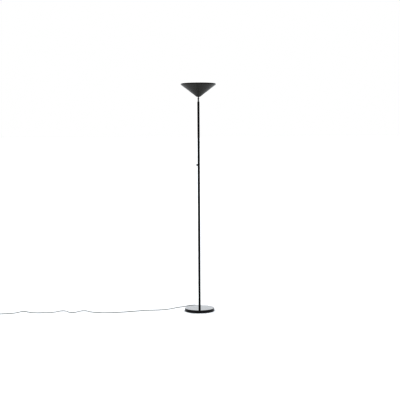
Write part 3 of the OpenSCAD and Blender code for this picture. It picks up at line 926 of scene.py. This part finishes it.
def make_pole():
    """Three tubes, and the cap that closes the top one."""
    knob_z, _ = lying("dimmer_knob")
    make_tube("pole_lower", "lower_tube")
    make_tube("pole_middle", "middle_tube", knob_z)
    make_tube("pole_upper", "upper_tube")
    low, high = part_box("pole_cap_bush")
    rim, bore, plug_r = high.x, 5 * MM, high.x - 1.2 * MM
    step = high.z - 1.5 * MM
    outline = [(bore, low.z), (plug_r, low.z), (plug_r, step), (rim, step), (rim, high.z), (bore, high.z)]
    cap = lathe("pole_cap", fillet(outline, mm(0.2, 0.3, 0, 0.15, 0.9, 0.2), 6), 96)
    finish_piece(cap, "pole_cap_bush")


# ---- dimmer ----


def make_knob():
    """A fluted knob with a domed face and a raised pointer."""
    low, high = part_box("dimmer_knob")
    axis_z, radius = lying("dimmer_knob")
    long = high.x - low.x
    hollow, shaft, pocket = mm(5.5, 2.05, 2.5)
    socket = high.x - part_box("dimmer_spindle")[0].x
    outline = fillet(
        [(0, long - 0.5 * MM), (radius - 2.2 * MM, long - 0.5 * MM), (radius - 1.6 * MM, long),
         (radius - 0.7 * MM, long), (radius, 1.2 * MM), (radius, 0), (hollow, 0), (hollow, pocket),
         (shaft, pocket), (shaft, socket), (0, socket)],
        mm(0, 0.4, 0.4, 0.7, 0.3, 0.3, 0.2, 0.2, 0.1, 0.1, 0), 5,
    )
    flutes, depth = 18, 0.38 * MM
    skirt = radius - 1.0 * MM                # the flutes and their extra rings are outside this radius

    def fluted(r, z, a):
        """Shallow round flutes along the grip that fade out before both ends."""
        if r < skirt:
            return r
        fade = ease(z, 1.4 * MM, 2.6 * MM)
        return r - depth * fade * (0.5 + 0.5 * math.cos(flutes * a)) ** 2

    grip = []
    for first, second in zip(outline, outline[1:] + outline[:1]):
        grip.append(first)
        out, up = second[0] - first[0], second[1] - first[1]
        if min(first[0], second[0]) > skirt and abs(up) > 2 * MM:
            grip += [(first[0] + out * k / 12, first[1] + up * k / 12) for k in range(1, 12)]
    place = against_x(high.x, 0, axis_z)
    finish_piece(lathe("dimmer_grip", grip, 216, place, fluted), "dimmer_knob")
    line = fillet(rectangle(-0.35 * MM, 0.35 * MM, 1.2 * MM, radius - 1.9 * MM), 0.3 * MM)
    pointer = prism("knob_pointer", line, long - 0.7 * MM, long - 0.1 * MM, 0.1 * MM, place @ about_z(180))
    extra_piece(pointer, "knob", "white_plastic")


# ---- knuckle ----

HALF_GAP = 0.25 * MM         # from the middle plane to each half's flat face
WIRE_WAY = 2.6 * MM          # radius of the wires' bore through both halves
WIRE_STOP = 3.2 * MM         # and how far it ends from the tilt axis


def make_knuckle():
    """Two chrome halves, face to face about the tilt screw, with their washers."""
    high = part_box("knuckle_lower")[1]
    disc_r = high.x
    pivot_z = high.z - disc_r
    make_knuckle_base(pivot_z, disc_r)
    make_knuckle_head(pivot_z, disc_r)
    low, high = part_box("friction_washer")
    ring = turned_tube(high.x, 4.8 * MM, 0, high.y - low.y, 0.08 * MM)
    finish_piece(lathe("tilt_washer", ring, 96, along_y(0, low.y, pivot_z)), "friction_washer")
    make_spring_washer(pivot_z)
    make_tilt_screw(pivot_z)


def knuckle_disc(radius, place):
    """One of the two discs, from the meeting face outwards."""
    return lathe("disc", fillet(rod(radius, 0, 6 * MM), mm(0, 0.15, 0.72, 0), 6), 96, place)


def make_knuckle_base(pivot_z, disc_r):
    """The lower half: a threaded spigot in the pole's cap, and a stem that is flat behind."""
    low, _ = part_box("knuckle_lower")
    pole_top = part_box("pole_cap_bush")[1].z
    spigot_r, stem_r = mm(5, 5.75)
    outline = fillet(
        [(0, low.z), (spigot_r, low.z), (spigot_r, pole_top), (stem_r, pole_top), (stem_r, pivot_z),
         (0, pivot_z)],
        mm(0, 0.5, 0, 0.3, 0, 0), 4,
    )
    half = lathe("knuckle_base", outline, 96)
    below = pivot_z - disc_r - 0.5 * MM
    cut(half, block("behind", (-10 * MM, -HALF_GAP, below), (10 * MM, 10 * MM, pivot_z + MM), 0))
    weld(half, knuckle_disc(disc_r, against_y(0, -HALF_GAP, pivot_z)))
    cut(half, lathe("wires", rod(WIRE_WAY, low.z - MM, pivot_z - WIRE_STOP), 48))
    return finish_piece(half, "knuckle_lower")


def thread_outline(radius, low, high, pitch, depth):
    """Rings that stand for a fine thread, as outline points going up."""
    out = []
    turns = int((high - low) / pitch)
    for k in range(turns):
        z = low + k * pitch
        out += [(radius, z), (radius, z + 0.3 * pitch), (radius - depth, z + 0.65 * pitch)]
    out += [(radius, high - 0.35 * pitch), (radius - 0.5 * depth, high)]
    return out


def make_knuckle_head(pivot_z, disc_r):
    """The upper half: a throat, a collar under the shade and the long threaded tube."""
    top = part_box("knuckle_upper")[1].z
    shade_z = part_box("shade")[0].z
    throat_r, tube_r = mm(4.5, 5)
    collar_z = shade_z - 2 * MM
    throat = fillet(
        [(0, pivot_z), (throat_r, pivot_z), (throat_r, collar_z), (disc_r, collar_z), (disc_r, shade_z),
         (tube_r, shade_z)],
        mm(0, 0, 0.5, 0.5, 0.4, 0), 5,
    )
    thread = thread_outline(tube_r, shade_z + MM, top, 1.0 * MM, 0.35 * MM)
    half = lathe("knuckle_head", throat + thread + [(0, top)], 96)
    above = pivot_z + disc_r + 0.5 * MM
    cut(half, block("front", (-10 * MM, -10 * MM, pivot_z - MM), (10 * MM, HALF_GAP, above), 0))
    weld(half, knuckle_disc(disc_r, along_y(0, HALF_GAP, pivot_z)))
    cut(half, lathe("wires", rod(WIRE_WAY, pivot_z + WIRE_STOP, top + MM), 48))
    return finish_piece(half, "knuckle_upper")


def make_spring_washer(pivot_z):
    """A split ring."""
    low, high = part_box("spring_washer")
    ring = turned_tube(high.x, 2.05 * MM, 0, high.y - low.y, 0.12 * MM)
    piece = lathe("split_washer", ring, 72, along_y(0, low.y, pivot_z))
    half = 0.25 * MM
    cut(piece, block("slot", (-half, low.y - MM, pivot_z + MM), (half, high.y + MM, pivot_z + 5 * MM), 0))
    return finish_piece(piece, "spring_washer")


def make_tilt_screw(pivot_z):
    """The M4 cap screw that clamps the knuckle, with a hexagon socket."""
    low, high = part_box("tilt_screw")
    head_r, shank, long = high.x, 2 * MM, high.y - low.y
    under = long - 2.4 * MM
    outline = [(0, 0), (shank, 0), (shank, under), (head_r, under), (head_r, long), (0, long)]
    place = along_y(0, low.y, pivot_z)
    screw = lathe("knuckle_screw", fillet(outline, mm(0, 0.4, 0, 0.2, 0.5, 0), 5), 72, place)
    cut(screw, prism("socket", hexagon(1.45 * MM), long - 1.4 * MM, long + MM, 0, place))
    return finish_piece(screw, "tilt_screw")


# ---- head ----


def cone_face(inset, top, radius):
    """One face of the shade, inset from its outer one: (radius, height) points from the hole to the
    top of the upright wall, with the corner under that wall rounded."""
    low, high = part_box("shade")
    slope = math.radians(37.5)
    hole, flat_r, round_r = mm(5.1, 12, 6)
    bend, bend_z = round_r - inset, low.z + round_r
    line = [(hole, low.z + inset)]
    for k in range(7):
        a = slope * k / 6
        line.append((flat_r + bend * math.sin(a), bend_z - bend * math.cos(a)))
    r, z = line.pop()
    wall = high.x - inset
    corner = (wall, z + (wall - r) * math.tan(slope))
    return line + fillet([(r, z), corner, (wall, top)], [0, radius, 0], 6)


def make_shade():
    """The spun cone in two skins: black outside with a turned bead at the rim, and white inside."""
    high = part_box("shade")[1]
    skin, whole, bead = mm(0.6, 1.0, 1.3)
    bead_r, bead_z = high.x - bead, high.z - bead
    ring = []
    for degrees in range(15, 226, 15):
        a = math.radians(degrees)
        ring.append((bead_r + bead * math.cos(a), bead_z + bead * math.sin(a)))
    inside = cone_face(skin, bead_z - 1.1 * bead, 1.4 * MM)
    outline = cone_face(0, bead_z, 2.0 * MM) + ring + inside[::-1]
    finish_piece(lathe("shade_skin", outline, 256), "shade")
    top = bead_z - 0.9 * bead
    outline = cone_face(skin, top, 1.4 * MM) + cone_face(whole, top, 1.0 * MM)[::-1]
    extra_piece(lathe("shade_lining", outline, 256), "head", "white_lacquer")


def make_stack():
    """Washer, spacer and nut on the head's threaded tube."""
    make_ring("shade_washer", "shade_ring", 5.05 * MM)
    make_ring("bracket_spacer", "spacer_tube", 5.05 * MM)
    low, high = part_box("head_nut")
    finish_piece(hex_nut("bracket_nut", high.x, 5.02 * MM, low.z, high.z), "head_nut")


def hex_nut(name, corner_r, bore, low, high):
    """A nut with both faces chamfered round its corners."""
    nut = prism(name, hexagon(corner_r), low, high)
    face_r, out_r = corner_r - 0.8 * MM, corner_r + 0.2 * MM
    turned = [(0, low), (face_r, low), (out_r, low + 0.7 * MM)]
    turned += [(out_r, high - 0.7 * MM), (face_r, high), (0, high)]
    change(nut, lathe("chamfer", turned, 96), "INTERSECT")
    edge = 0.5 * MM
    wide = bore + edge
    hole = [(0, low - MM), (wide, low - MM), (wide, low), (bore, low + edge)]
    hole += [(bore, high - edge), (wide, high), (wide, high + MM), (0, high + MM)]
    return cut(nut, lathe("bore", hole, 64))


def make_bracket():
    """A folded steel strip with upright ends, and two lugs spot-welded on."""
    low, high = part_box("lamp_bracket")
    reach, thick, half = high.y, 1.5 * MM, high.x
    inner, floor = reach - thick, low.z + thick
    strip = fillet(
        [(-reach, high.z), (-reach, low.z), (reach, low.z), (reach, high.z), (inner, high.z), (inner, floor),
         (-inner, floor), (-inner, high.z)],
        mm(0.5, 2.6, 2.6, 0.5, 0.5, 1.1, 1.1, 0.5), 6,
    )
    bracket = prism("lamp_carrier", strip, -half, half, 0.35 * MM, side_view(), 2)
    lug_top = lying("lamp_tube")[0] - 13.6 * MM
    for y in mm(35, -35):
        weld(bracket, block("lug", (-5 * MM, y - MM, low.z + MM), (5 * MM, y + MM, lug_top), 0.3 * MM))
    cut(bracket, lathe("hole", rod(5.1 * MM, low.z - MM, low.z + 3 * MM), 48))
    return finish_piece(bracket, "lamp_bracket")


def make_reflector():
    """The trough under the lamp, with rolled edges."""
    low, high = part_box("reflector")
    bulb_z, _ = lying("lamp_tube")
    outer = bulb_z - low.z
    top = math.asin((high.z - bulb_z) / outer)
    count = 28
    line = []
    for radius, steps in ((outer, range(count + 1)), (outer - 0.7 * MM, range(count, -1, -1))):
        for k in steps:
            a = math.pi - top + (math.pi + 2 * top) * k / count
            line.append((radius * math.cos(a), bulb_z + radius * math.sin(a)))
    piece = prism("lamp_reflector", line, -high.y, -low.y, 0.15 * MM, end_view(), 2)
    return finish_piece(piece, "reflector")


def make_holder(node, name, side):
    """A ceramic block with a flared cup for the lamp's end and a seat for its contact."""
    low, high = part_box(node)
    holder = block(name, low, high, 1.0 * MM)
    half, end = mm(0.6, 2.5)
    for z in (low.z + 3 * MM, high.z - 3 * MM):         # cooling grooves along both cheeks
        for x in (low.x, high.x):
            start, stop = (x - half, low.y + end, z - half), (x + half, high.y - end, z + half)
            cut(holder, block("groove", start, stop, 0.25 * MM))
    face, along = (low.y, along_y) if side > 0 else (high.y, against_y)
    place = along(0, face, lying("lamp_tube")[0])
    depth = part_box("lamp_ends")[1].y + 0.8 * MM - abs(face)
    bore, mouth = mm(4.6, 5.9)
    cup = [(0, depth), (bore, depth), (bore, 1.2 * MM), (mouth, -0.3 * MM), (mouth, -MM), (0, -MM)]
    cut(holder, lathe("cup", fillet(cup, mm(0, 0.4, 0.6, 0, 0, 0)), 64, place))
    cut(holder, lathe("shank", rod(2.1 * MM, 0, 30 * MM), 40, place))
    return finish_piece(holder, node)


def make_contacts():
    """The fixed contact in front, and the sprung one behind with its spring, both with domed ends."""
    bulb_z, _ = lying("lamp_tube")
    _, radius = lying("fixed_contact")
    low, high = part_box("fixed_contact")
    outline = fillet(rod(radius, 0, high.y - low.y), mm(0, 0.3, 0.9, 0), 6)
    finish_piece(lathe("contact_front", outline, 48, along_y(0, low.y, bulb_z)), "fixed_contact")
    low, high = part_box("sprung_contact")
    _, flange = lying("sprung_contact")
    long = high.y - low.y
    guide, back, front = mm(1.2, 3.65, 2.85)
    outline = fillet(
        [(0, 0), (radius, 0), (radius, front), (flange, front), (flange, back), (guide, back), (guide, long),
         (0, long)],
        mm(0, 0.9, 0, 0.2, 0.2, 0, 0.3, 0), 5,
    )
    finish_piece(lathe("contact_plunger", outline, 48, along_y(0, low.y, bulb_z)), "sprung_contact")
    make_contact_spring(bulb_z)


def make_contact_spring(axis_z):
    """The coil behind the plunger, which is squashed as the lamp is put in."""
    low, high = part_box("contact_spring")
    wire = 0.3 * MM
    reach = lying("contact_spring")[1] - wire
    points = helix(reach, low.y + wire, high.y - wire, 4, 16, axis_z)
    spring = finish_piece(as_mesh(curve("contact_coil", points, wire, 2)), "contact_spring")
    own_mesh(spring)


def helix(radius, start, end, turns, per_turn, axis_z):
    """Points of a coil about a level axis, from start to end along Y."""
    count = turns * per_turn
    points = []
    for k in range(count + 1):
        a = TURN * k / per_turn
        y = start + (end - start) * k / count
        points.append((radius * math.cos(a), y, axis_z + radius * math.sin(a)))
    return points


def pan_screw(name, place, shank_r, head_r, head_h, long):
    """A pan-head screw along +Z with its head at the end, cross-recessed."""
    under, rim = long - head_h, long - 0.4 * head_h
    outline = [(0, 0), (shank_r, 0), (shank_r, under), (head_r, under), (head_r, rim)]
    outline += [(0.45 * head_r, long), (0, long)]
    screw = lathe(name, fillet(outline, mm(0, 0.3, 0, 0.1, 0.5, 0.6, 0), 5), 40)
    arm, half = 0.62 * head_r, 0.13 * head_r
    for turn in (0, 90):
        recess = block("recess", (-arm, -half, long - 0.45 * head_h), (arm, half, long + MM), 0)
        recess.data.transform(about_z(turn))
        cut(screw, recess)
    screw.data.transform(place)
    return screw


def make_holder_screws():
    _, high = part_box("holder_screws")
    z, head_r = lying("holder_screws")
    x = high.x - head_r
    tip = 59.5 * MM                          # how far out along Y each screw begins
    screws = []
    for side in (-x, x):
        for place in (along_y(side, tip, z), against_y(side, -tip, z)):
            screws.append(pan_screw("holder_screw", place, 1.2 * MM, head_r, 1.6 * MM, high.y - tip))
    return finish_piece(join(*screws), "holder_screws")


def make_lamp():
    """The double-ended halogen lamp: quartz tube, pinched ends and the coiled filament."""
    bulb_z, radius = lying("lamp_tube")
    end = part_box("lamp_tube")[1].y
    tube = fillet(rectangle(radius - MM, radius, -end, end), mm(0.2, 0.4, 0.4, 0.2), 4)
    finish_piece(lathe("lamp_glass", tube, 96, along_y(0, 0, bulb_z)), "lamp_tube")
    ends = [lamp_end(along(0, 0, bulb_z), radius) for along in (along_y, against_y)]
    finish_piece(join(*ends), "lamp_ends")
    make_filament(bulb_z)


def lamp_end(place, radius):
    """A dome that closes the tube, its flat pinch and the cap at the tip."""
    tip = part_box("lamp_ends")[1].y
    plug_r, inner, shoulder, outer = mm(3.95, 41.6, 43.1, 44.4)
    dome = [(0, inner), (plug_r, inner), (plug_r, shoulder), (radius, shoulder), (radius, outer), (0, outer)]
    seal = lathe("end", fillet(dome, mm(0, 0.8, 0, 0.2, 0.9, 0), 5), 72, place)
    flat = fillet(rectangle(*mm(-3, 3, -1.3, 1.3)), 0.8 * MM)
    pinch = prism("pinch", flat, 44 * MM, 49 * MM, 0.2 * MM, place)
    cap_r, nose_r, start = mm(3.7, 2.6, 48.4)
    cap = [(0, start), (cap_r, start), (cap_r, tip - 1.2 * MM), (nose_r, tip), (0, tip)]
    return weld(seal, pinch, lathe("cap", fillet(cap, mm(0, 0.4, 0.5, 0.4, 0), 5), 72, place))


def make_filament(axis_z):
    """A long fine coil of tungsten with straight ends."""
    coil_end, wound = mm(36, 0.75)
    lead_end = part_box("lamp_filament")[1].y - 0.2 * MM
    points = [
        (0, -lead_end, axis_z), (0, -coil_end - MM, axis_z),
        *helix(wound, -coil_end, coil_end, 80, 10, axis_z),
        (0, coil_end + MM, axis_z), (0, lead_end, axis_z),
    ]
    finish_piece(curve("filament", points, 0.14 * MM, 1, smooth=False), "lamp_filament")


def make_glass():
    """The toughened pane over the lamp, with ground corners and edges."""
    low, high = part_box("glass_shield")
    pane = fillet(rectangle(low.x, high.x, low.y, high.y), 6 * MM, 10)
    return finish_piece(prism("glass_pane", pane, low.z, high.z, 0.5 * MM), "glass_shield")


def make_clips():
    """Two bent strips that grip the bracket and hold the glass down."""
    low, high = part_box("glass_clips")
    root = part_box("lamp_bracket")[1].y
    glass_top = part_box("glass_shield")[1].z
    reach, thick, tip = high.y, 0.8 * MM, high.y - 9.8 * MM
    line = [(root, low.z), (reach, low.z), (reach, high.z), (tip, high.z), (tip, glass_top)]
    line += [(reach - thick, glass_top), (reach - thick, low.z + thick), (root, low.z + thick)]
    strip = fillet(line, mm(0.2, 1.3, 1.3, 0.25, 0.25, 0.5, 0.5, 0.2), 5)
    clips = []
    for turn in (0, 180):
        clip = prism("glass_clip", strip, -high.x, high.x, 0.2 * MM, side_view(), 2)
        clip.data.transform(about_z(turn))
        clips.append(clip)
    return finish_piece(join(*clips), "glass_clips")


def make_head_leads():
    """A sleeved wire from the threaded tube to each lamp holder."""
    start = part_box("head_leads")[0].z
    shade_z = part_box("shade")[0].z
    route = [                                # in mm from the middle of the shade's underside
        (0.9, 0, (start - shade_z) / MM), (0.9, 0, 40), (0.9, 0, 51), (3, 6, 55.6), (6.5, 20, 54),
        (7, 44, 51), (5, 56, 54), (4, 58, 61.5),
    ]
    wires = []
    for side in (1, -1):
        points = [(side * x * MM, side * y * MM, shade_z + z * MM) for x, y, z in route]
        wires.append(as_mesh(curve("lamp_wires", points, 0.8 * MM, 3)))
    return finish_piece(join(*wires), "head_leads")


# ---- the whole lamp ----

scene = bpy.context.scene
scene.view_settings.view_transform = "Standard"
scene.view_settings.gamma = CONTRAST
make_camera()
make_cord()
make_world()
make_softbox()
make_floor()

make_base_shell()
make_ring("floor_pad", "foot_ring", 20 * MM, 0.4 * MM, 192)
make_pole()
make_knob()
make_knuckle()
make_shade()
make_stack()
make_bracket()
make_reflector()
make_holder("lamp_holder_front", "holder_front", -1)
make_holder("lamp_holder_rear", "holder_rear", 1)
make_contacts()
make_holder_screws()
make_lamp()
make_glass()
make_clips()
make_head_leads()

for name, node in nodes.items():
    if not node.hide_render:
        node.material_slots[0].material = MATERIALS[SLOT_OF[name]]
